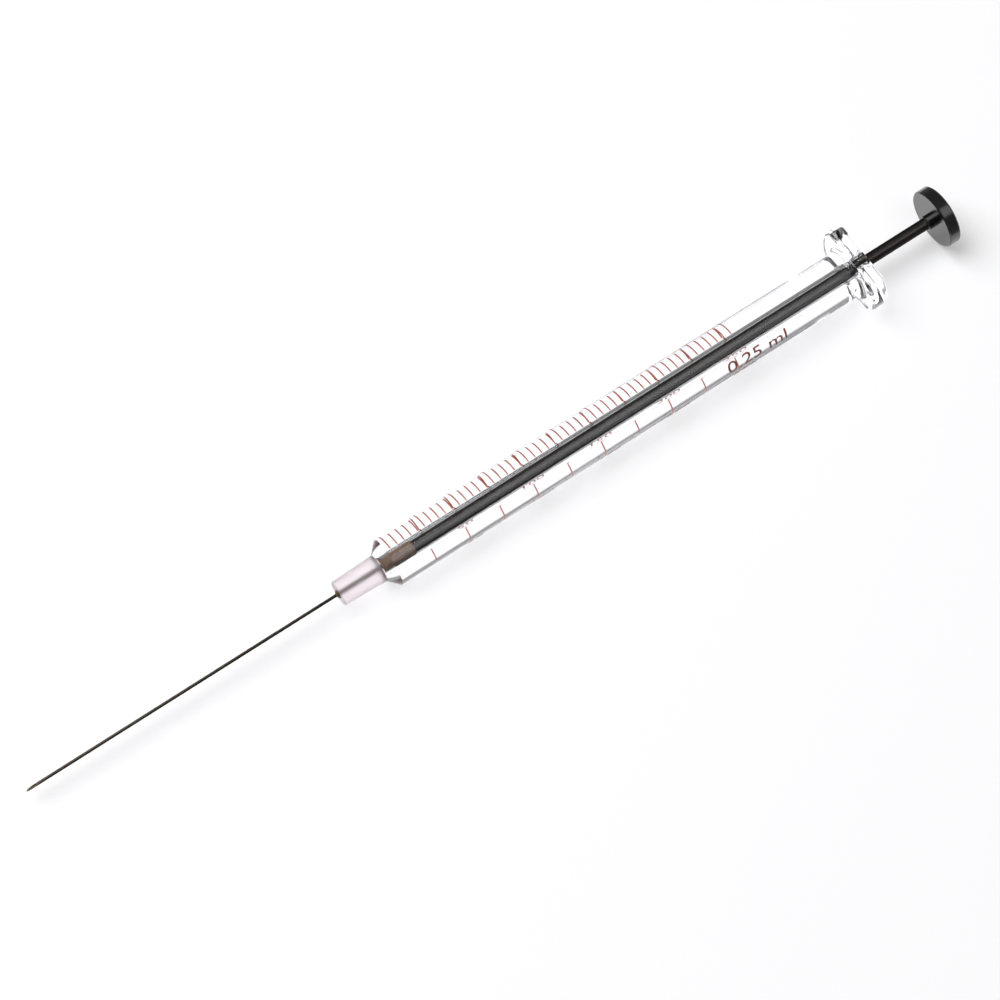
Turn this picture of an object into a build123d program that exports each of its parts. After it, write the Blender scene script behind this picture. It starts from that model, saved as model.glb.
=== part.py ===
from build123d import *
import math
import os

# Gas-tight glass microsyringe with a cemented needle, 250 microlitres.
# Millimetres. The barrel axis is X, the needle points to -X, +Z is up as it lies.
# The origin is on the axis, where the barrel's full diameter starts behind its coned shoulder.

# ---- capacity and graduations ------------------------------------------------
CAPACITY_UL = 250.0
UL_PER_SHORT_MARK = 5.0
UL_PER_LONG_MARK = 25.0
STROKE = 60.0                       # from the zero mark to the last mark
MARK_WIDTH = 0.20
MARK_HEIGHT = 0.03                  # fired enamel, a low ridge on the glass
# Angles run round the barrel from straight up (0) towards +Y (90).
SHORT_MARK_FROM, SHORT_MARK_TO = 5.0, 50.0
LONG_MARK_FROM, LONG_MARK_TO = 5.0, 211.0

# ---- glass barrel ------------------------------------------------------------
BARREL_D = 7.60
BORE_D = 2.0 * math.sqrt(CAPACITY_UL / (math.pi * STROKE))      # 2.303, holds the capacity over the stroke
BORE_FLOOR_X = -0.95                # the bore runs a little way into the coned shoulder
BARREL_BEHIND_MARKS = 23.80         # last mark to the flange's rear face
BORE_MOUTH_CHAMFER = 0.60

SHOULDER_LEN = 1.55                 # ground cone from the barrel down to the taper
LUER_LEN = 7.00
LUER_TAPER = 0.06                   # change of diameter per length
LUER_FRONT_D = 3.93
LUER_CHAMFER = 0.15

FLANGE_D = 13.50
FLANGE_T = 2.50
FLAT_STAND = 0.50                   # the flats stand this far off the barrel's outside
RIM_ROUND = 0.70
FLAT_EDGE_ROUND = 0.45
FLARE_R = 1.30                      # inside corner between barrel and flange

# ---- needle ------------------------------------------------------------------
NEEDLE_D = 0.46
NEEDLE_BORE_D = 0.26
NEEDLE_EXPOSED = 52.7
NEEDLE_BEVEL_DEG = 12.0
CEMENT_GAP = 0.04                   # radial, between needle and glass
BEAD_D = 1.50                       # cement bead on the taper's nose
BEAD_LEN = 0.45

# ---- plunger -----------------------------------------------------------------
TIP_CLEARANCE = 0.01                # radial, plunger tip in bore
TIP_END_GAP = 0.05                  # tip to bore floor, pushed fully in
TIP_LEN = 5.00
TIP_READ_EDGE = 1.65                # tip's front to the line that is read against the scale
TIP_CHAMFER = 0.12
STUB_D = 1.20                       # rod end held inside the tip
STUB_LEN = 2.80
COLLAR_LEN = 1.00                   # head of the stub, in front of its groove
COLLAR_CHAMFER = 0.15
GROOVE_DEPTH = 0.15
GROOVE_LEN = 0.60
ROD_D = 1.86
ROD_EXPOSED = 11.70                 # flange to boss, pushed fully in
ROD_IN_BUTTON = 2.30
BUTTON_D = 9.50
BUTTON_T = 1.95
BUTTON_EDGE_CHAMFER = 0.20
BOSS_D = 2.30
BOSS_LEN = 1.20
BOSS_CHAMFER = 0.15

# ---- derived -----------------------------------------------------------------
CUT_OVER = 1.0                      # how far a cutting body runs past what it cuts
BARREL_R = BARREL_D / 2.0
BORE_R = BORE_D / 2.0
TIP_FRONT_X = BORE_FLOOR_X + TIP_END_GAP
ZERO_X = TIP_FRONT_X + TIP_READ_EDGE
BARREL_END_X = ZERO_X + STROKE + BARREL_BEHIND_MARKS
FLANGE_X = BARREL_END_X - FLANGE_T
FLANGE_MID_X = BARREL_END_X - FLANGE_T / 2.0
NOSE_X = -SHOULDER_LEN - LUER_LEN
LUER_FRONT_R = LUER_FRONT_D / 2.0
LUER_REAR_R = LUER_FRONT_R + LUER_TAPER * LUER_LEN / 2.0
NEEDLE_R = NEEDLE_D / 2.0
NEEDLE_HOLE_R = NEEDLE_R + CEMENT_GAP
NEEDLE_POINT_X = NOSE_X - NEEDLE_EXPOSED
TIP_REAR_X = TIP_FRONT_X + TIP_LEN
BOSS_X = BARREL_END_X + ROD_EXPOSED
BUTTON_X = BOSS_X + BOSS_LEN


def turned(*lines):
    """A solid turned about X from the closed half section that the lines draw."""
    edges = [edge for line in lines for edge in (Plane.XZ * line).edges()]
    return revolve(make_face(edges), axis=Axis.X)


def turned_points(*points):
    """A solid turned about X from a half section given as (x, radius) corners."""
    return turned(Polyline(*points, close=True))


def cylinder(x_from, x_to, radius):
    """A plain cylinder along X."""
    return Pos((x_from + x_to) / 2.0, 0, 0) * Cylinder(radius, x_to - x_from, rotation=(0, 90, 0))


def luer_and_tube():
    """Ground taper, coned shoulder and plain tube, without holes."""
    return turned_points(
        (NOSE_X, 0),
        (NOSE_X, LUER_FRONT_R - LUER_CHAMFER),
        (NOSE_X + LUER_CHAMFER, LUER_FRONT_R + LUER_CHAMFER * LUER_TAPER / 2.0),
        (-SHOULDER_LEN, LUER_REAR_R),
        (0, BARREL_R),
        (FLANGE_MID_X, BARREL_R),
        (FLANGE_MID_X, 0),
    )


def flange():
    """Disc with two flats and rounded edges, running into the tube with a concave flare."""
    flats = Pos(FLANGE_MID_X, 0, 0) * Box(
        FLANGE_T + 4 * FLARE_R, FLANGE_D + CUT_OVER, BARREL_D + 2 * FLAT_STAND)
    wings = cylinder(FLANGE_X, BARREL_END_X, FLANGE_D / 2.0) & flats
    wings = fillet(wings.edges().filter_by(Axis.X), FLAT_EDGE_ROUND)
    faces = wings.faces().sort_by(Axis.X)
    wings = fillet(faces[0].edges() + faces[-1].edges(), RIM_ROUND)
    start, end = (FLANGE_X - FLARE_R, BARREL_R), (FLANGE_X, BARREL_R + FLARE_R)
    inside = BARREL_R - FLAT_STAND
    flare = turned(
        RadiusArc(start, end, -FLARE_R),
        Polyline(end, (FLANGE_MID_X, end[1]), (FLANGE_MID_X, inside), (start[0], inside), start),
    )
    return wings + (flare & flats)


def glass_barrel():
    """Thick-walled tube, ground Luer taper in front, finger flange behind."""
    body = luer_and_tube() + flange()
    body -= cylinder(BORE_FLOOR_X, BARREL_END_X + CUT_OVER, BORE_R)
    body -= turned_points(
        (BARREL_END_X - BORE_MOUTH_CHAMFER, 0),
        (BARREL_END_X - BORE_MOUTH_CHAMFER, BORE_R),
        (BARREL_END_X + CUT_OVER, BORE_R + BORE_MOUTH_CHAMFER + CUT_OVER),
        (BARREL_END_X + CUT_OVER, 0),
    )
    return body - cylinder(NOSE_X - CUT_OVER, BORE_FLOOR_X + CUT_OVER, NEEDLE_HOLE_R)


def needle():
    """Steel tube with a bevelled point, flush with the bore floor inside the barrel."""
    tube = cylinder(NEEDLE_POINT_X, BORE_FLOOR_X, NEEDLE_R)
    slope = math.tan(math.radians(NEEDLE_BEVEL_DEG))
    bevel_len = NEEDLE_D / slope
    wedge = make_face(Plane.XZ * Polyline(
        (NEEDLE_POINT_X - CUT_OVER, -NEEDLE_R - slope * CUT_OVER),
        (NEEDLE_POINT_X + bevel_len + CUT_OVER, NEEDLE_R + slope * CUT_OVER),
        (NEEDLE_POINT_X - CUT_OVER, NEEDLE_R + slope * CUT_OVER),
        close=True,
    ))
    tube -= extrude(wedge, amount=NEEDLE_D, both=True)
    return tube - cylinder(NEEDLE_POINT_X - CUT_OVER, BORE_FLOOR_X + CUT_OVER, NEEDLE_BORE_D / 2.0)


def needle_cement():
    """Adhesive that fills the gap round the needle, with a coned bead at the taper's nose."""
    return turned_points(
        (NOSE_X - BEAD_LEN, NEEDLE_R),
        (NOSE_X, BEAD_D / 2.0),
        (NOSE_X, NEEDLE_HOLE_R),
        (BORE_FLOOR_X, NEEDLE_HOLE_R),
        (BORE_FLOOR_X, NEEDLE_R),
    )


def marks(microlitres_each, angle_from, angle_to, skip_every=None):
    """Enamel arcs on the barrel, one at each step of the scale."""
    ridge = Plane.XZ * make_face(Polyline(
        (-MARK_WIDTH / 2.0, BARREL_R),
        (0, BARREL_R + MARK_HEIGHT),
        (MARK_WIDTH / 2.0, BARREL_R),
        close=True,
    ))
    arc = revolve(ridge, axis=Axis.X, revolution_arc=angle_to - angle_from)
    middle = arc.center()
    turned_to = math.degrees(math.atan2(middle.Y, middle.Z))
    arc = Rot(turned_to - (angle_from + angle_to) / 2.0, 0, 0) * arc
    steps = round(CAPACITY_UL / microlitres_each)
    volumes = [k * microlitres_each for k in range(steps + 1)]
    return Compound(children=[
        Pos(ZERO_X + volume * STROKE / CAPACITY_UL, 0, 0) * arc
        for volume in volumes
        if not (skip_every and volume % skip_every == 0)
    ])


def short_marks():
    """The marks between the long ones."""
    return marks(UL_PER_SHORT_MARK, SHORT_MARK_FROM, SHORT_MARK_TO, UL_PER_LONG_MARK)


def long_marks():
    """The long marks, which pass round the back of the barrel."""
    return marks(UL_PER_LONG_MARK, LONG_MARK_FROM, LONG_MARK_TO)


def stub():
    """End of the rod inside the tip: a grooved neck behind a small collar."""
    r = STUB_D / 2.0
    front = TIP_REAR_X - STUB_LEN
    groove_from, groove_to = front + COLLAR_LEN, front + COLLAR_LEN + GROOVE_LEN
    return turned_points(
        (front, 0),
        (front, r - COLLAR_CHAMFER),
        (front + COLLAR_CHAMFER, r),
        (groove_from, r),
        (groove_from, r - GROOVE_DEPTH),
        (groove_to, r - GROOVE_DEPTH),
        (groove_to, r),
        (TIP_REAR_X, r),
        (TIP_REAR_X, 0),
    )


def plunger_tip():
    """Filled-fluoropolymer piston, pressed over the end of the rod."""
    tip = cylinder(TIP_FRONT_X, TIP_REAR_X, BORE_R - TIP_CLEARANCE)
    return chamfer(tip.edges().filter_by(GeomType.CIRCLE), TIP_CHAMFER) - stub()


def plunger_rod():
    """Ground steel rod from inside the tip to inside the button."""
    return cylinder(TIP_REAR_X, BOSS_X + ROD_IN_BUTTON, ROD_D / 2.0) + stub()


def thumb_button():
    """Round button with a short boss, pressed on the rod."""
    disc = cylinder(BUTTON_X, BUTTON_X + BUTTON_T, BUTTON_D / 2.0)
    disc = chamfer(disc.edges().filter_by(GeomType.CIRCLE), BUTTON_EDGE_CHAMFER)
    boss = cylinder(BOSS_X, BUTTON_X + BUTTON_T / 2.0, BOSS_D / 2.0)
    boss = chamfer(boss.edges().group_by(Axis.X)[0], BOSS_CHAMFER)
    return disc + boss - cylinder(BOSS_X - CUT_OVER, BOSS_X + ROD_IN_BUTTON, ROD_D / 2.0)


NODES = (
    glass_barrel, needle, needle_cement, short_marks, long_marks,
    plunger_tip, plunger_rod, thumb_button,
)

os.makedirs("parts", exist_ok=True)
for make in NODES:
    shape = make()
    box = shape.bounding_box()
    print(make.__name__, round(shape.volume, 3), [round(v, 3) for v in (*box.min, *box.max)])
    export_step(shape, f"parts/{make.__name__}.step")
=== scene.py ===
# %% [markdown]
# # A glass microsyringe, lying on a pale table
# The CAD frame already holds every solid of this syringe at its real size, in metres, with the barrel along X.
# This lesson dresses it: clear and ground glass that really refracts, fired enamel graduations, dark ground
# steel, a turned polymer tip and a black button. Most cells make one thing and print what they made.

# %% Load the frame
import math

import bmesh
import bpy
from mathutils import Matrix, Vector


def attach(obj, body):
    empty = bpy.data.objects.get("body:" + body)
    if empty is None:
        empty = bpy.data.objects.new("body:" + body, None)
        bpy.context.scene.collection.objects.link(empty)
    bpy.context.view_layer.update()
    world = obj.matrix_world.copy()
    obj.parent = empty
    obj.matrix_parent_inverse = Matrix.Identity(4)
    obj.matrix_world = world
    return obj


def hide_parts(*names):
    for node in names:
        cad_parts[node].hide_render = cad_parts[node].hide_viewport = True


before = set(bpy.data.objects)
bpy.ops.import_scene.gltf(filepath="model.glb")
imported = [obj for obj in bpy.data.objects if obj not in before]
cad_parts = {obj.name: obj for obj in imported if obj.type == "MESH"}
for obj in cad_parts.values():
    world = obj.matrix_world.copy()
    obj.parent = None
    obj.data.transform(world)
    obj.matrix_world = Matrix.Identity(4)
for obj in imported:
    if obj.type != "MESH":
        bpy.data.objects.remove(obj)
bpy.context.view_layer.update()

# %% [markdown]
# ## Units and small helpers
# The drawing of a syringe is in millimetres, and Blender's scene here is in metres. Colours are given as sRGB
# hex values, but Cycles mixes light in linear values, so one function does that conversion for every material.

# %% Units, colours and nodes
MM = 0.001


def linear(hex_colour):
    """Linear RGBA of an sRGB hex colour such as "#8a4a38"."""
    out = []
    for i in (1, 3, 5):
        c = int(hex_colour[i:i + 2], 16) / 255.0
        out.append(c / 12.92 if c <= 0.04045 else ((c + 0.055) / 1.055) ** 2.4)
    return (*out, 1.0)


def add_node(tree, kind, links=(), values=None, **settings):
    """Add one node: settings are its properties, values its sockets, links pairs of (socket, other output)."""
    node = tree.nodes.new(kind)
    for name, value in settings.items():
        setattr(node, name, value)
    for name, value in (values or {}).items():
        node.inputs[name].default_value = value
    for name, output in links:
        tree.links.new(output, node.inputs[name])
    return node


def new_material(name):
    """An empty node material and its output node."""
    material = bpy.data.materials.new(name)
    material.use_nodes = True
    material.node_tree.nodes.clear()
    output = material.node_tree.nodes.new("ShaderNodeOutputMaterial")
    return material, material.node_tree, output


print("1 mm is", MM, "m;", "mid grey #808080 is", round(linear("#808080")[0], 3), "linear")

# %% [markdown]
# ## Making a mesh piece
# Most pieces of a syringe are turned or drawn, so half of their section can be drawn as a chain of edges and
# spun round the axis once. That gives clean bands of quads whose smooth normals refract light well. A point of
# the section may also have an outline that changes with the angle, which presses the flange's flats.

# %% Spun sections and finished objects
def spin_section(bm, section, segments, closed=True):
    """Spin (x_mm, radius_mm or outline(angle), material slot of the next band) points once round X."""
    point_no = bm.verts.layers.int.new("point_no")
    chain = []
    for i, (x, radius, _) in enumerate(section):
        vert = bm.verts.new(Vector((x, radius(0.0) if callable(radius) else radius, 0.0)) * MM)
        vert[point_no] = i
        chain.append(vert)
    edges = [bm.edges.new(pair) for pair in zip(chain, chain[1:] + chain[:1] if closed else chain[1:])]
    bmesh.ops.spin(bm, geom=chain + edges, cent=(0, 0, 0), axis=(1, 0, 0), angle=math.tau, steps=segments,
                   use_merge=True)
    for face in bm.faces:
        points = sorted({vert[point_no] for vert in face.verts})
        face.material_index = section[points[-1] if points[-1] - points[0] > 1 else points[0]][2]
    for vert in bm.verts:
        radius = section[vert[point_no]][1]
        if callable(radius):
            angle = math.atan2(vert.co.z, vert.co.y)
            vert.co.y, vert.co.z = radius(angle) * math.cos(angle) * MM, radius(angle) * math.sin(angle) * MM
    bm.verts.layers.int.remove(point_no)


def piece(name, bm, materials, body, replaced, sharp_deg=32.0):
    """Close a bmesh into a finished object that rides on a body and stands for CAD nodes."""
    bmesh.ops.remove_doubles(bm, verts=bm.verts[:], dist=1e-8)
    bmesh.ops.recalc_face_normals(bm, faces=bm.faces[:])
    if bm.calc_volume(signed=True) < 0.0:
        bmesh.ops.reverse_faces(bm, faces=bm.faces[:])
    volume = bm.calc_volume(signed=True) / MM ** 3
    mesh = bpy.data.meshes.new(name)
    bm.to_mesh(mesh)
    bm.free()
    for material in materials:
        mesh.materials.append(material)
    mesh.shade_smooth()
    mesh.set_sharp_from_angle(angle=math.radians(sharp_deg))
    obj = bpy.data.objects.new(name, mesh)
    bpy.context.collection.objects.link(obj)
    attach(obj, body)
    if replaced:
        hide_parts(*replaced)
    print(name, "has", len(mesh.polygons), "faces and holds", round(volume, 2), "mm3")
    return obj


# %% [markdown]
# ## Camera
# A long lens from most of a metre away, looking down at the syringe so that it runs up the picture from its
# point, at the lower left, to its button. The camera aims a little beside the barrel, so no lens shift is needed.

# %% Place the camera
CAMERA_AZIMUTH_DEG = -34.33         # 0 looks along +Y
CAMERA_ELEVATION_DEG = 67.55
CAMERA_DISTANCE_MM = 600.0
CAMERA_AIM_MM = (18.960, -0.846, -0.531)
LENS_MM = 148.9

azimuth, elevation = math.radians(CAMERA_AZIMUTH_DEG), math.radians(CAMERA_ELEVATION_DEG)
right = Vector((math.cos(azimuth), math.sin(azimuth), 0.0))
forward = Vector((
    -math.sin(azimuth) * math.cos(elevation), math.cos(azimuth) * math.cos(elevation), -math.sin(elevation)))
up = right.cross(forward)
camera_data = bpy.data.cameras.new("camera")
camera_data.lens = LENS_MM
camera_data.sensor_width = 36.0
camera_data.clip_start = 0.01
camera_data.clip_end = 20.0
camera = bpy.data.objects.new("camera", camera_data)
bpy.context.collection.objects.link(camera)
place = (Vector(CAMERA_AIM_MM) - forward * CAMERA_DISTANCE_MM) * MM
camera.matrix_world = Matrix.Translation(place) @ Matrix((right, up, -forward)).transposed().to_4x4()
bpy.context.scene.camera = camera
print("camera at", tuple(round(v, 3) for v in place), "m")

# %% [markdown]
# ## Table
# The syringe lies on the front edge of its barrel and on the rim of its button, so the table touches those two
# and slopes by half a degree in the syringe's own frame. A plain grey sheet would do for a solid object, but
# clear glass is only seen by what it bends. So the table is a light panel: an opal sheet that glows faintly,
# under a film that sends its light upwards. Glass and metal see it bright from above and dim from low down,
# and the edges of the barrel and the ring round its bore then turn dark and can be seen. Only the camera's own
# rays leave the film out, so the background stays pale from every side. That is a cheat: from low down a real
# panel would look dim to the camera too, and the glass here is darker in such views than on white paper.

# %% Table
BARREL_R = 3.80
BUTTON_R = 4.75
BUTTON_RIM_X = 97.65                # where the button's rim meets the table
TABLE_SIZE_MM = 6000.0
table_drop = (BUTTON_R - BARREL_R) / BUTTON_RIM_X

bm = bmesh.new()
bmesh.ops.create_grid(bm, x_segments=8, y_segments=8, size=TABLE_SIZE_MM / 2.0 * MM)
bmesh.ops.rotate(bm, verts=bm.verts[:], matrix=Matrix.Rotation(math.atan(table_drop), 3, "Y"))
bmesh.ops.translate(bm, verts=bm.verts[:], vec=Vector((0, 0, -BARREL_R)) * MM)
table_mesh = bpy.data.meshes.new("table")
bm.to_mesh(table_mesh)
bm.free()
table = bpy.data.objects.new("table", table_mesh)
bpy.context.collection.objects.link(table)
print("table slopes by", round(math.degrees(math.atan(table_drop)), 2), "degrees")

# %% Table material
TABLE_GREY = "#d2d2d4"              # what the opal sheet gives back of the lamps' light
TABLE_GLOW = 0.37                   # what comes up through it, to the camera
GLOW_IN_GLASS = 0.60                # the same in a mirror or through glass
LOW_VIEW = (0.50, 0.63)             # Layer Weight's Facing where the film starts and ends its turn to dim
FILM_HOLDS_BACK = 0.80              # the share of the light that the film keeps from a low ray


def ray_kinds(tree):
    """Two outputs: 1 for the camera's own rays, and 1 for rays that a mirror or glass has bent."""
    light_path = add_node(tree, "ShaderNodeLightPath")
    bent = add_node(tree, "ShaderNodeMath", operation="MAXIMUM", links=[
        (0, light_path.outputs["Is Glossy Ray"]), (1, light_path.outputs["Is Transmission Ray"])])
    return light_path.outputs["Is Camera Ray"], bent.outputs[0]


panel, tree, output = new_material("light_panel_opal_with_film")
from_camera, bent = ray_kinds(tree)
direct = add_node(tree, "ShaderNodeMath", links=[(0, from_camera)],
                  values={1: TABLE_GLOW}, operation="MULTIPLY")
strength = add_node(tree, "ShaderNodeMath", links=[(0, bent), (2, direct.outputs[0])],
                    values={1: GLOW_IN_GLASS}, operation="MULTIPLY_ADD")
sheet = add_node(tree, "ShaderNodeBsdfDiffuse", values={"Color": linear(TABLE_GREY)})
glow = add_node(tree, "ShaderNodeEmission", links=[("Strength", strength.outputs[0])],
                values={"Color": (1, 1, 1, 1)})
none = add_node(tree, "ShaderNodeEmission", values={"Color": (0, 0, 0, 1), "Strength": 0.0})
both = add_node(tree, "ShaderNodeAddShader", links=[(0, sheet.outputs[0]), (1, glow.outputs[0])])
facing = add_node(tree, "ShaderNodeLayerWeight", values={"Blend": 0.5})
low = add_node(tree, "ShaderNodeMapRange", links=[("Value", facing.outputs["Facing"])],
               values={"From Min": LOW_VIEW[0], "From Max": LOW_VIEW[1], "To Min": 0.0,
                       "To Max": FILM_HOLDS_BACK})
not_seen = add_node(tree, "ShaderNodeMath", links=[(1, from_camera)],
                    values={0: 1.0}, operation="SUBTRACT")
dark = add_node(tree, "ShaderNodeMath", links=[(0, low.outputs[0]), (1, not_seen.outputs[0])],
                operation="MULTIPLY")
film = add_node(tree, "ShaderNodeMixShader", links=[
    ("Fac", dark.outputs[0]), (1, both.outputs[0]), (2, none.outputs[0])])
tree.links.new(film.outputs[0], output.inputs["Surface"])
table_mesh.materials.append(panel)
print("table glows", TABLE_GLOW, "to the camera and", GLOW_IN_GLASS, "in glass")

# %% [markdown]
# ## Lamps and world
# A big softbox behind the syringe lights everything and lays the faint shadow in front of it. A smaller one,
# where the camera's mirror image would be, gives the rod its long highlight. Area lamps are used because their
# soft edges are what a studio's softboxes have. The world is white to the camera, as a backdrop, but a dim
# grey to the glass and the metal, as the walls of a studio are.

# %% Lamps
SYRINGE_MIDDLE_MM = (30.0, 0.0, 0.0)


def softbox(name, direction, distance_mm, size_mm, radiance):
    """A square softbox that faces the barrel's middle; radiance 1 looks plain white in a mirror."""
    data = bpy.data.lights.new(name, "AREA")
    data.shape = "SQUARE"
    data.size = size_mm * MM
    data.energy = radiance * math.pi * (size_mm * MM) ** 2
    box = bpy.data.objects.new(name, data)
    towards = Vector(direction).normalized()
    box.matrix_world = (Matrix.Translation((towards * distance_mm + Vector(SYRINGE_MIDDLE_MM)) * MM)
                        @ towards.to_track_quat("Z", "Y").to_matrix().to_4x4())
    bpy.context.collection.objects.link(box)
    return box


main_softbox = softbox("softbox_main", (-0.28, 0.38, 0.88), 1100.0, 860.0, 6.0)
rim_softbox = softbox("softbox_highlight", (0.30, -0.33, 0.89), 1000.0, 540.0, 1.3)
print("lamps:", round(main_softbox.data.energy, 2), "and", round(rim_softbox.data.energy, 2), "W")

# %% World
WORLD_GREY = 0.045                  # what every ray but the camera's gets from the walls
WORLD_IN_GLASS = 0.14               # and what glass and metal see on top of it

world = bpy.data.worlds.new("studio")
bpy.context.scene.world = world
world.use_nodes = True
tree = world.node_tree
tree.nodes.clear()
output = tree.nodes.new("ShaderNodeOutputWorld")
from_camera, bent = ray_kinds(tree)
walls = add_node(tree, "ShaderNodeMath", links=[(0, bent)],
                 values={1: WORLD_IN_GLASS, 2: WORLD_GREY}, operation="MULTIPLY_ADD")
fill = add_node(tree, "ShaderNodeBackground", links=[("Strength", walls.outputs[0])],
                values={"Color": (1, 1, 1, 1)})
white = add_node(tree, "ShaderNodeBackground", values={"Color": (1, 1, 1, 1), "Strength": 1.0})
chosen = add_node(tree, "ShaderNodeMixShader", links=[
    ("Fac", from_camera), (1, fill.outputs[0]), (2, white.outputs[0])])
tree.links.new(chosen.outputs[0], output.inputs["Surface"])
bpy.context.scene.view_settings.view_transform = "Standard"
print("world:", WORLD_GREY, "and", round(WORLD_GREY + WORLD_IN_GLASS, 3), "in glass")

# %% [markdown]
# ## Borosilicate glass, drawn and ground
# The barrel is thick drawn tubing, so it is smooth as a lens, with only a slow waviness along its length. Its
# front taper was ground with grit to fit a hub, which leaves a fine matt skin, faintly pink, that scatters
# light but still shows the needle inside. The coned shoulder behind it is clear. The hole round the needle is
# filled with clear cement of nearly the same index, so light passes that wall unbent: a transparent shader
# does that. The bore was honed to fit the piston, which leaves it just rough enough to soften the rod's edges.
# Its grey tint is painted shade, which darkens the gap between the bore and the rod. Lamps see the glass as a
# grey filter, because Cycles would otherwise need caustics to light what lies inside it; that filter also
# gives the barrel its shadow.

# %% Glass materials
GLASS_IOR = 1.473
WAVE_MM, WAVE_HEIGHT_MM, WAVE_STRETCH = 3.0, 0.002, 12.0        # drawn tubing's slow waviness
GRIT_MM, GRIT_HEIGHT_MM = 0.12, 0.008       # a ground skin is finer; drawn coarser so that it shows


def glass_material(name, tint, roughness, grain_mm, bump_mm, bump_strength, passes, stretch=1.0, clear=1.0):
    """Dielectric glass with a noise bump; passes is the share of lamp light let straight through."""
    material, tree, output = new_material(name)
    coords = add_node(tree, "ShaderNodeTexCoord")
    scale = 1.0 / (grain_mm * MM)
    mapping = add_node(tree, "ShaderNodeMapping", links=[("Vector", coords.outputs["Object"])],
                       values={"Scale": (scale / stretch, scale, scale)})
    noise = add_node(tree, "ShaderNodeTexNoise", links=[("Vector", mapping.outputs[0])],
                     values={"Scale": 1.0, "Detail": 2.0})
    bump = add_node(tree, "ShaderNodeBump", links=[("Height", noise.outputs["Fac"])],
                    values={"Strength": bump_strength, "Distance": bump_mm * MM})
    shader = add_node(tree, "ShaderNodeBsdfPrincipled", links=[("Normal", bump.outputs[0])], values={
        "Base Color": linear(tint), "Roughness": roughness, "IOR": GLASS_IOR, "Transmission Weight": clear})
    through = add_node(tree, "ShaderNodeBsdfTransparent", values={"Color": (passes, passes, passes, 1.0)})
    light_path = add_node(tree, "ShaderNodeLightPath")
    mixed = add_node(tree, "ShaderNodeMixShader", links=[
        ("Fac", light_path.outputs["Is Shadow Ray"]), (1, shader.outputs[0]), (2, through.outputs[0])])
    tree.links.new(mixed.outputs[0], output.inputs["Surface"])
    return material


drawn_glass = glass_material(
    "borosilicate_glass_drawn", "#fdfdff", 0.0, WAVE_MM, WAVE_HEIGHT_MM, 0.3, 0.70, stretch=WAVE_STRETCH)
# The bore's grey #b4b4b4 is painted shade: it darkens the gap between the bore and the rod.
honed_glass_painted_shade = glass_material(
    "borosilicate_glass_honed_bore_painted_shade", "#b4b4b4", 0.07, WAVE_MM, WAVE_HEIGHT_MM, 0.3, 0.90, stretch=WAVE_STRETCH)
ground_glass = glass_material(
    "borosilicate_glass_ground", "#efe6ea", 0.45, GRIT_MM, GRIT_HEIGHT_MM, 0.6, 0.75, clear=0.85)

bonded_wall, tree, output = new_material("glass_wall_wetted_by_cement")
clear = add_node(tree, "ShaderNodeBsdfTransparent", values={"Color": (1, 1, 1, 1)})
tree.links.new(clear.outputs[0], output.inputs["Surface"])
print("glass index", GLASS_IOR)

# %% [markdown]
# ## The barrel
# One piece of glass: ground Luer taper, clear coned shoulder, thick tube, a small flare and the finger flange
# with its two flats, then the bore back to its floor and the needle hole. It could be a boolean of solids, but
# booleans leave long thin faces that show in glass. One closed chain of points, spun once, keeps every band
# even, and because the chain is closed the glass has an inside, which refraction needs.

# %% Barrel sizes and outlines
GLASS_SEGMENTS = 192
NOSE_X, LUER_FRONT_R, LUER_CHAMFER = -8.55, 1.965, 0.15
SHOULDER_X, LUER_REAR_R = -1.55, 2.175
BORE_R, BORE_FLOOR_X = 1.1515, -0.95
NEEDLE_R, NEEDLE_HOLE_R = 0.23, 0.27
FLANGE_X, BARREL_END_X, FLANGE_R, FLAT_Z = 82.05, 84.55, 6.75, 4.30
FLARE_R, RIM_ROUND, MOUTH_CHAMFER = 1.30, 0.70, 0.60
LUER_TAPER = 0.06                   # change of diameter per length
ROUND_STEPS = 8                     # rings in the flare and in each rounded rim
FLATS_FROM_R = 3.95                 # rings wider than this feel the flats
CORNER_EASE, NO_FLAT_BEYOND = 0.10, 1.5


def clipped(radius, flat):
    """Outline of a disc cut by two flats at z = +flat and -flat, with eased corners."""
    def at(angle):
        to_flat = flat / max(abs(math.sin(angle)), 1e-6)
        if to_flat >= radius + NO_FLAT_BEYOND:
            return radius
        return -CORNER_EASE * math.log(math.exp(-radius / CORNER_EASE) + math.exp(-to_flat / CORNER_EASE))
    return at


def larger(first, second):
    """The outline that is outside of two others."""
    return lambda angle: max(first(angle), second(angle))


def quarter_turn():
    """The angles of a quarter round, from its start to its end."""
    return [math.radians(90.0 * k / ROUND_STEPS) for k in range(ROUND_STEPS + 1)]


POLISHED, GROUND, BONDED, HONED_PAINTED_SHADE = 0, 1, 2, 3        # slots of the barrel's four kinds of surface

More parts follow.
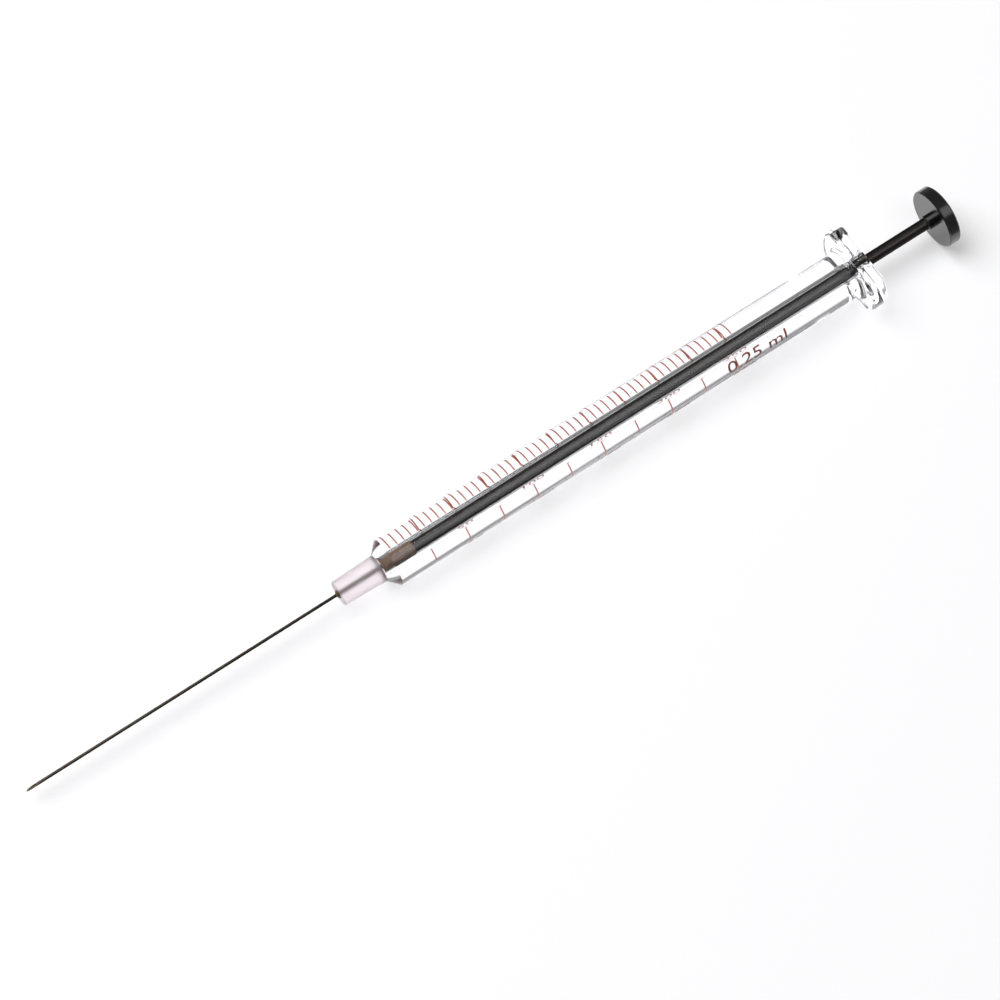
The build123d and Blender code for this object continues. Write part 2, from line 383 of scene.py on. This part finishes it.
# %% Barrel section
outline = [                         # (x, radius or outline, slot of the band to the next ring)
    (NOSE_X, NEEDLE_HOLE_R, GROUND), (NOSE_X, LUER_FRONT_R - LUER_CHAMFER, GROUND),
    (NOSE_X + LUER_CHAMFER, LUER_FRONT_R + LUER_TAPER / 2.0 * LUER_CHAMFER, GROUND),
    (SHOULDER_X, LUER_REAR_R, POLISHED), (0.0, BARREL_R, POLISHED)]
for a in quarter_turn()[:-1]:       # the last ring of the flare would lie on the first of the rim
    radius = BARREL_R + FLARE_R * (1.0 - math.cos(a))
    outline.append((FLANGE_X - FLARE_R * (1.0 - math.sin(a)),
                    clipped(radius, FLAT_Z) if radius > FLATS_FROM_R else radius, POLISHED))
core = clipped(BARREL_R + FLARE_R, FLAT_Z)
for a in quarter_turn():
    inset = RIM_ROUND * (1.0 - math.sin(a))
    outline.append((FLANGE_X + RIM_ROUND * (1.0 - math.cos(a)),
                    larger(core, clipped(FLANGE_R - inset, FLAT_Z - inset)), POLISHED))
for a in quarter_turn():
    inset = RIM_ROUND * (1.0 - math.cos(a))
    outline.append((BARREL_END_X - RIM_ROUND * (1.0 - math.sin(a)),
                    clipped(FLANGE_R - inset, FLAT_Z - inset), POLISHED))
outline += [(BARREL_END_X, BORE_R + MOUTH_CHAMFER, POLISHED), (BARREL_END_X - MOUTH_CHAMFER, BORE_R, HONED_PAINTED_SHADE)]
outline += [(BORE_FLOOR_X, BORE_R, POLISHED), (BORE_FLOOR_X, NEEDLE_HOLE_R, BONDED)]
print("the barrel's section has", len(outline), "points")

# %% Barrel
bm = bmesh.new()
spin_section(bm, outline, GLASS_SEGMENTS)
piece("barrel_glass", bm, [drawn_glass, ground_glass, bonded_wall, honed_glass_painted_shade], "barrel",
      ["glass_barrel"])

# %% [markdown]
# ## Fired enamel
# The scale is enamel, which is coloured glass powder, screen-printed and fired. It is opaque and red-brown,
# half matt, and slightly uneven in colour where the powder lay thicker. A fine noise between two browns
# gives that; it is drawn at 0.25 mm, coarser than the powder, so that it shows.

# %% Enamel material
SPECKLE_MM = 0.25

enamel, tree, output = new_material("fired_enamel_red_brown")
coords = add_node(tree, "ShaderNodeTexCoord")
speckle = add_node(tree, "ShaderNodeTexNoise", links=[("Vector", coords.outputs["Object"])],
                   values={"Scale": 1.0 / (SPECKLE_MM * MM), "Detail": 2.0})
ink = add_node(tree, "ShaderNodeValToRGB", links=[("Fac", speckle.outputs["Fac"])])
ink.color_ramp.elements[0].position, ink.color_ramp.elements[0].color = 0.35, linear("#94422e")
ink.color_ramp.elements[1].position, ink.color_ramp.elements[1].color = 0.70, linear("#b6644c")
shader = add_node(tree, "ShaderNodeBsdfPrincipled", links=[("Base Color", ink.outputs[0])],
                  values={"Roughness": 0.45, "IOR": 1.50})
tree.links.new(shader.outputs[0], output.inputs["Surface"])
print("enamel speckle", SPECKLE_MM, "mm")

# %% [markdown]
# ## Graduation marks
# There are fifty-one thin lines. The short ones face up; the long ones, at every 25 microlitres, run on round
# the back, so that they can be lined up with themselves when the scale is read. They could be painted with a
# texture, but a real line stands a little proud, so each is a small strip spun round the barrel's axis. The
# curved glass smears the shadow of such thin lines away, which a straight shadow ray cannot show, so the
# enamel casts none.

# %% Graduation marks
ZERO_X, STROKE, CAPACITY_UL = 0.75, 60.0, 250
UL_PER_SHORT_MARK, UL_PER_LONG_MARK = 5, 25
MARK_WIDTH, INK_IN, INK_OUT = 0.20, 3.785, 3.825        # the strip's foot is just inside the glass
SHORT_MARK_DEG, LONG_MARK_DEG = (5.0, 50.0), (5.0, 211.0)
MARK_STEP_DEG = 5.0


def spun_mark(bm, x_mm, from_deg, to_deg):
    """A strip of enamel round the barrel; angles run from straight up towards +Y."""
    half = MARK_WIDTH / 2.0
    corners = [(-half, INK_IN), (-half, INK_OUT), (half, INK_OUT), (half, INK_IN)]
    verts = [bm.verts.new(Vector((x_mm + dx, 0.0, r)) * MM) for dx, r in corners]
    start = bm.faces.new(verts)
    bmesh.ops.rotate(bm, verts=verts, matrix=Matrix.Rotation(-math.radians(from_deg), 3, "X"))
    steps = max(4, round((to_deg - from_deg) / MARK_STEP_DEG))
    bmesh.ops.spin(bm, geom=[start, *start.edges, *verts], axis=(1, 0, 0), cent=(0, 0, 0),
                   angle=-math.radians(to_deg - from_deg), steps=steps)


def scale_x(microlitres):
    """Where a volume stands on the scale, in mm."""
    return ZERO_X + STROKE * microlitres / CAPACITY_UL


def printed(name, bm, replaced):
    """An enamel piece on the barrel, which casts no shadow."""
    print_on_glass = piece(name, bm, [enamel], "barrel", replaced)
    print_on_glass.visible_shadow = False
    return print_on_glass


for name, node, is_long, span in (("scale_short", "short_marks", False, SHORT_MARK_DEG),
                                  ("scale_long", "long_marks", True, LONG_MARK_DEG)):
    bm = bmesh.new()
    for volume in range(0, CAPACITY_UL + 1, UL_PER_SHORT_MARK):
        if (volume % UL_PER_LONG_MARK == 0) == is_long:
            spun_mark(bm, scale_x(volume), *span)
    printed(name, bm, [node])

# %% [markdown]
# ## Figures
# The volumes are printed beside the long marks and the capacity stands behind the scale. A text object cannot
# follow a cylinder by itself. A Curve modifier could bend it, but the finished mesh has to stay at the origin,
# so a flat text is made a mesh, cut across into narrow strips so that it can bend, and rolled on to the barrel.

# %% Roll lettering on to the barrel
FIGURE_HEIGHT = 2.04                # height of a figure
FIGURE_BASE_DEG = -129.0            # foot of the figures beside the marks
FIGURE_STEP_UL = 50
CAPACITY_BASE_DEG = -79.0
CAPACITY_MIDDLE_X, CAPACITY_WIDTH = 62.95, 10.5
STRIP_MM = 0.30                     # narrow enough that a letter bends smoothly


def rolled_text(name, words, centre_x, base_deg, width_mm=None):
    """Lettering that reads along +X with its foot at base_deg round the barrel."""
    curve = bpy.data.curves.new(name, "FONT")
    curve.body = words
    flat_obj = bpy.data.objects.new(name, curve)
    bpy.context.collection.objects.link(flat_obj)
    bpy.context.view_layer.update()
    flat = bpy.data.meshes.new_from_object(flat_obj.evaluated_get(bpy.context.evaluated_depsgraph_get()))
    bpy.data.objects.remove(flat_obj)
    bm = bmesh.new()
    bm.from_mesh(flat)
    xs, ys = [v.co.x for v in bm.verts], [v.co.y for v in bm.verts]
    grow_y = FIGURE_HEIGHT / (max(ys) - min(ys))
    grow_x = width_mm / (max(xs) - min(xs)) if width_mm else grow_y
    middle = (max(xs) + min(xs)) / 2.0
    for vert in bm.verts:
        vert.co = Vector(((vert.co.x - middle) * grow_x, (vert.co.y - min(ys)) * grow_y, 0.0))
    for k in range(1, int(FIGURE_HEIGHT / STRIP_MM) + 1):
        geom = bm.verts[:] + bm.edges[:] + bm.faces[:]
        bmesh.ops.bisect_plane(bm, geom=geom, plane_co=(0, k * STRIP_MM, 0), plane_no=(0, 1, 0))
    for vert in bm.verts:
        angle = math.radians(base_deg) + vert.co.y / BARREL_R
        vert.co = Vector((centre_x + vert.co.x, INK_OUT * math.sin(angle), INK_OUT * math.cos(angle))) * MM
    bmesh.ops.recalc_face_normals(bm, faces=bm.faces[:])
    grown = bmesh.ops.extrude_face_region(bm, geom=bm.faces[:])
    for vert in (g for g in grown["geom"] if isinstance(g, bmesh.types.BMVert)):
        vert.co.y, vert.co.z = vert.co.y * INK_IN / INK_OUT, vert.co.z * INK_IN / INK_OUT
    return printed(name, bm, [])


for volume in range(FIGURE_STEP_UL, CAPACITY_UL + 1, FIGURE_STEP_UL):
    rolled_text(f"figure_{volume}", str(volume), scale_x(volume), FIGURE_BASE_DEG)
rolled_text("capacity_figure", "0.25 ml", CAPACITY_MIDDLE_X, CAPACITY_BASE_DEG, CAPACITY_WIDTH)

# %% [markdown]
# ## Steel
# The plunger's rod is ground steel with a black-oxide finish: nearly black, with a satin highlight. The needle
# is drawn stainless steel, and so thin that it mostly mirrors the dim room. Its dark colour is painted shade for
# that dim reflection, far darker than stainless steel's own. Grinding leaves fine lines round the rod and
# drawing leaves them along the needle. They are too fine to be seen one by one and only spread the highlight,
# so they are drawn coarser than life and feed the roughness and the colour.

# %% Steel materials
ROD_LINE_MM, NEEDLE_LINE_MM = 0.30, 0.04
EDGE_TINT = (0.25, 0.25, 0.25, 1.0)     # keeps the steel dark where it turns away from the eye


def steel_material(name, dark, light, roughness, line_mm, along):
    """Dark ground steel; lines run along X when along is true, else round the axis."""
    material, tree, output = new_material(name)
    coords = add_node(tree, "ShaderNodeTexCoord")
    fine = 1.0 / (line_mm * MM)
    scale = (fine / 60.0, fine, fine) if along else (fine, fine / 20.0, fine / 20.0)     # lines are long
    mapping = add_node(tree, "ShaderNodeMapping", links=[("Vector", coords.outputs["Object"])],
                       values={"Scale": scale})
    noise = add_node(tree, "ShaderNodeTexNoise", links=[("Vector", mapping.outputs[0])],
                     values={"Scale": 1.0, "Detail": 3.0})
    colour = add_node(tree, "ShaderNodeValToRGB", links=[("Fac", noise.outputs["Fac"])])
    colour.color_ramp.elements[0].position, colour.color_ramp.elements[0].color = 0.3, linear(dark)
    colour.color_ramp.elements[1].position, colour.color_ramp.elements[1].color = 0.7, linear(light)
    spread = add_node(tree, "ShaderNodeMapRange", links=[("Value", noise.outputs["Fac"])],
                      values={"To Min": roughness * 0.8, "To Max": roughness * 1.2})
    shader = add_node(tree, "ShaderNodeBsdfPrincipled", links=[
        ("Base Color", colour.outputs[0]), ("Roughness", spread.outputs[0])],
        values={"Metallic": 1.0, "Specular Tint": EDGE_TINT})
    tree.links.new(shader.outputs[0], output.inputs["Surface"])
    return material


plunger_steel = steel_material(
    "steel_black_oxide_ground", "#3d3938", "#464140", 0.30, ROD_LINE_MM, along=False)
# The needle's colours #2b2721 and #3b362e are painted shade: a darkened stand-in for its dim reflection.
needle_steel_painted_shade = steel_material(
    "stainless_steel_drawn_painted_shade", "#2b2721", "#3b362e", 0.32, NEEDLE_LINE_MM, along=True)
print("steel lines", ROD_LINE_MM, "mm on the rod,", NEEDLE_LINE_MM, "mm on the needle")

# %% [markdown]
# ## The needle
# The needle is a tube with a slanted point, ground at 12 degrees. A boolean could slant it, but the tube is only
# a spun wall, so one plane cuts it and the cut ring between the two walls is filled again.

# %% Needle
NEEDLE_POINT_X, NEEDLE_BORE_R, BEVEL_DEG = -61.25, 0.13, 12.0
STEEL_SEGMENTS = 48
BEVEL_CLEARANCE = 0.0002            # the plane passes just below the tube, so no edge lies in it

bm = bmesh.new()
spin_section(bm, [
    (NEEDLE_POINT_X, NEEDLE_BORE_R, 0), (NEEDLE_POINT_X, NEEDLE_R, 0), (BORE_FLOOR_X, NEEDLE_R, 0),
    (BORE_FLOOR_X, NEEDLE_BORE_R, 0)], STEEL_SEGMENTS)
slope = math.radians(BEVEL_DEG)
cut = bmesh.ops.bisect_plane(
    bm, geom=bm.verts[:] + bm.edges[:] + bm.faces[:],
    plane_co=Vector((NEEDLE_POINT_X, 0.0, -NEEDLE_R - BEVEL_CLEARANCE)) * MM,
    plane_no=(-math.sin(slope), 0.0, math.cos(slope)), clear_outer=True)
rim = [edge for edge in cut["geom_cut"] if isinstance(edge, bmesh.types.BMEdge)]
bmesh.ops.triangle_fill(bm, edges=rim, use_beauty=True)
piece("needle_tube", bm, [needle_steel_painted_shade], "barrel", ["needle"])

# %% [markdown]
# ## The cement
# Epoxy holds the needle. It fills the space round it inside the taper and stands in a small bead at the nose,
# where it is a glossy, clouded amber with slightly lumpy skin. Inside the glass the walls are wetted by the
# cement and pass light unbent, so there a transparent shader only tints it grey-brown.

# %% Cement materials
LUMP_MM, LUMP_HEIGHT_MM = 0.4, 0.03

amber, tree, output = new_material("epoxy_cement_amber")
coords = add_node(tree, "ShaderNodeTexCoord")
lumps = add_node(tree, "ShaderNodeTexNoise", links=[("Vector", coords.outputs["Object"])],
                 values={"Scale": 1.0 / (LUMP_MM * MM), "Detail": 1.0})
bump = add_node(tree, "ShaderNodeBump", links=[("Height", lumps.outputs["Fac"])],
                values={"Strength": 0.3, "Distance": LUMP_HEIGHT_MM * MM})
shader = add_node(tree, "ShaderNodeBsdfPrincipled", links=[("Normal", bump.outputs[0])], values={
    "Base Color": linear("#6a5a42"), "Roughness": 0.30, "IOR": 1.52, "Transmission Weight": 0.35})
tree.links.new(shader.outputs[0], output.inputs["Surface"])

cement_in_glass, tree, output = new_material("epoxy_cement_between_glass_and_needle")
clear = add_node(tree, "ShaderNodeBsdfTransparent", values={"Color": linear("#c8c3ba")})
tree.links.new(clear.outputs[0], output.inputs["Surface"])

print("cement lumps", LUMP_MM, "mm")

# %% Cement
BEAD_R, BEAD_LEN = 0.75, 0.45
BOND_GAP = 0.004                    # keeps the two wetted walls apart
SKIN_GAP = 0.002                    # and the cement off the needle

bm = bmesh.new()
section = [                         # the bead's round front, then the thin sleeve inside the glass
    (NOSE_X - BEAD_LEN, NEEDLE_R + SKIN_GAP, 0), (NOSE_X - 0.5 * BEAD_LEN, 0.60 * BEAD_R + 0.14, 0),
    (NOSE_X - 0.14 * BEAD_LEN, 0.92 * BEAD_R, 0), (NOSE_X - BOND_GAP, BEAD_R, 0),
    (NOSE_X - BOND_GAP, NEEDLE_HOLE_R - BOND_GAP, 1), (BORE_FLOOR_X, NEEDLE_HOLE_R - BOND_GAP, 1),
    (BORE_FLOOR_X, NEEDLE_R + SKIN_GAP, 1)]
spin_section(bm, section, STEEL_SEGMENTS)
piece("cement_bead", bm, [amber, cement_in_glass], "barrel", ["needle_cement"])

# %% [markdown]
# ## Polymers
# The piston's tip is turned from PTFE. It is waxy, with faint clouds in its tone and faint turning lines,
# which are drawn coarser than a lathe's real feed. Its tan-brown colour is painted shade: the shade inside the
# barrel darkens the pale tip. The button is moulded ABS: so black that it is seen only by its reflections,
# which a fine moulded grain makes satin. Its index is set a little high, to match how brightly the real one
# shines.

# %% Piston tip material
CLOUD_MM = 0.5
TURNED_LINE_MM, TURNED_LINE_HEIGHT_MM = 0.691, 0.02
WAVE_RADIANS = 20.0                 # what Blender's wave texture multiplies a length by

tip_polymer_painted_shade, tree, output = new_material("ptfe_turned_painted_shade")
coords = add_node(tree, "ShaderNodeTexCoord")
cloud = add_node(tree, "ShaderNodeTexNoise", links=[("Vector", coords.outputs["Object"])],
                 values={"Scale": 1.0 / (CLOUD_MM * MM), "Detail": 4.0})
# The two tan-browns of the tip are painted shade, darker than the pale PTFE's own colour.
tan_painted_shade = add_node(tree, "ShaderNodeValToRGB", links=[("Fac", cloud.outputs["Fac"])])
tan_painted_shade.color_ramp.elements[0].position, tan_painted_shade.color_ramp.elements[0].color = 0.3, linear("#6b5549")
tan_painted_shade.color_ramp.elements[1].position, tan_painted_shade.color_ramp.elements[1].color = 0.7, linear("#8a705f")
lines = add_node(tree, "ShaderNodeTexWave", links=[("Vector", coords.outputs["Object"])],
                 values={"Scale": math.tau / (WAVE_RADIANS * TURNED_LINE_MM * MM), "Distortion": 0.4})
bump = add_node(tree, "ShaderNodeBump", links=[("Height", lines.outputs["Fac"])],
                values={"Strength": 0.25, "Distance": TURNED_LINE_HEIGHT_MM * MM})
shader = add_node(tree, "ShaderNodeBsdfPrincipled", links=[
    ("Base Color", tan_painted_shade.outputs[0]), ("Normal", bump.outputs[0])], values={"Roughness": 0.5, "IOR": 1.38})
tree.links.new(shader.outputs[0], output.inputs["Surface"])
print("turning lines", TURNED_LINE_MM, "mm apart")

# %% Button material
GRAIN_MM, GRAIN_HEIGHT_MM = 0.15, 0.008

button_black, tree, output = new_material("abs_moulded_black")
coords = add_node(tree, "ShaderNodeTexCoord")
grain = add_node(tree, "ShaderNodeTexNoise", links=[("Vector", coords.outputs["Object"])],
                 values={"Scale": 1.0 / (GRAIN_MM * MM), "Detail": 3.0})
bump = add_node(tree, "ShaderNodeBump", links=[("Height", grain.outputs["Fac"])],
                values={"Strength": 0.12, "Distance": GRAIN_HEIGHT_MM * MM})
dusk = add_node(tree, "ShaderNodeMapRange", links=[("Value", grain.outputs["Fac"])],
                values={"To Min": 0.14, "To Max": 0.22})
shader = add_node(tree, "ShaderNodeBsdfPrincipled", links=[
    ("Roughness", dusk.outputs[0]), ("Normal", bump.outputs[0])],
    values={"Base Color": linear("#060609"), "IOR": 1.70})
tree.links.new(shader.outputs[0], output.inputs["Surface"])
print("moulded grain", GRAIN_MM, "mm")

# %% [markdown]
# ## The plunger
# Tip, rod and button are all turned or round, so each is half a section, spun, with its chain closed on the
# axis at both ends. They could be cylinders with bevels, but the section gives every corner its own size. The
# tip is held on the rod's end, and the rod ends inside the button, so the three touch as the real ones do.

# %% Plunger tip, rod and button
TIP_FRONT_X, TIP_REAR_X, TIP_R, TIP_CHAMFER = -0.90, 4.10, 1.1415, 0.12
ROD_R, BOSS_X, BOSS_R, BUTTON_X, BUTTON_END_X = 0.93, 96.25, 1.15, 97.45, 99.40
BUTTON_CHAMFER, BOSS_CHAMFER = 0.20, 0.15
ROD_IN_BOSS = 0.5                   # the rod's mesh goes this far into the button's


def turned_piece(name, section, material, node, segments):
    """A solid turned from (x, radius) corners and closed on the axis at both ends."""
    bm = bmesh.new()
    ends = [(section[0][0], 0.0), *section, (section[-1][0], 0.0)]
    spin_section(bm, [(x, radius, 0) for x, radius in ends], segments, closed=False)
    return piece(name, bm, [material], "plunger", [node])


turned_piece("piston_tip", [
    (TIP_FRONT_X, TIP_R - TIP_CHAMFER), (TIP_FRONT_X + TIP_CHAMFER, TIP_R), (TIP_REAR_X - TIP_CHAMFER, TIP_R),
    (TIP_REAR_X, TIP_R - TIP_CHAMFER)], tip_polymer_painted_shade, "plunger_tip", 96)
turned_piece("piston_rod", [(TIP_REAR_X, ROD_R), (BOSS_X + ROD_IN_BOSS, ROD_R)],
             plunger_steel, "plunger_rod", 96)
turned_piece("button", [
    (BOSS_X, ROD_R), (BOSS_X, BOSS_R - BOSS_CHAMFER), (BOSS_X + BOSS_CHAMFER, BOSS_R), (BUTTON_X, BOSS_R),
    (BUTTON_X, BUTTON_R - BUTTON_CHAMFER), (BUTTON_X + BUTTON_CHAMFER, BUTTON_R),
    (BUTTON_END_X - BUTTON_CHAMFER, BUTTON_R), (BUTTON_END_X, BUTTON_R - BUTTON_CHAMFER)],
    button_black, "thumb_button", 128)
